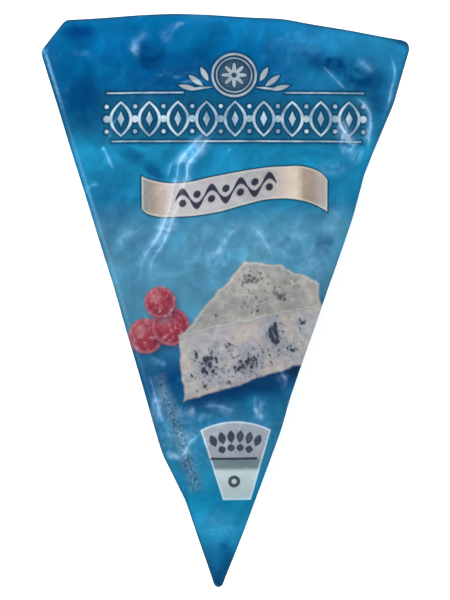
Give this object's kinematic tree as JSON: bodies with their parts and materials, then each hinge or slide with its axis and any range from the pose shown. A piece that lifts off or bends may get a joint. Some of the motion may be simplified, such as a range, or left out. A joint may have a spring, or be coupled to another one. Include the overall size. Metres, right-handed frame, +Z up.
{
  "type": "blue cheese wedge pack",
  "caption": "Sealed wedge-shaped film pack of blue cheese, lying flat, with a deep pocket, a seal flange round its mouth and a creased printed lid film.",
  "frame": {"origin": "centre of the bounding box's base, on the surface that the pack lies on", "axes": "+Z up out of the printed lid; +Y from the pointed tip towards the wide rind end; +X to the right of the printed lid seen from above"},
  "size_m": [0.077, 0.12, 0.0275],
  "materials": {
    "printed_film": "glossy printed food film, drawn tight, with creases"
  },
  "bodies": {
    "root": {"cheese_pack": "printed_film"}
  },
  "joints": []
}
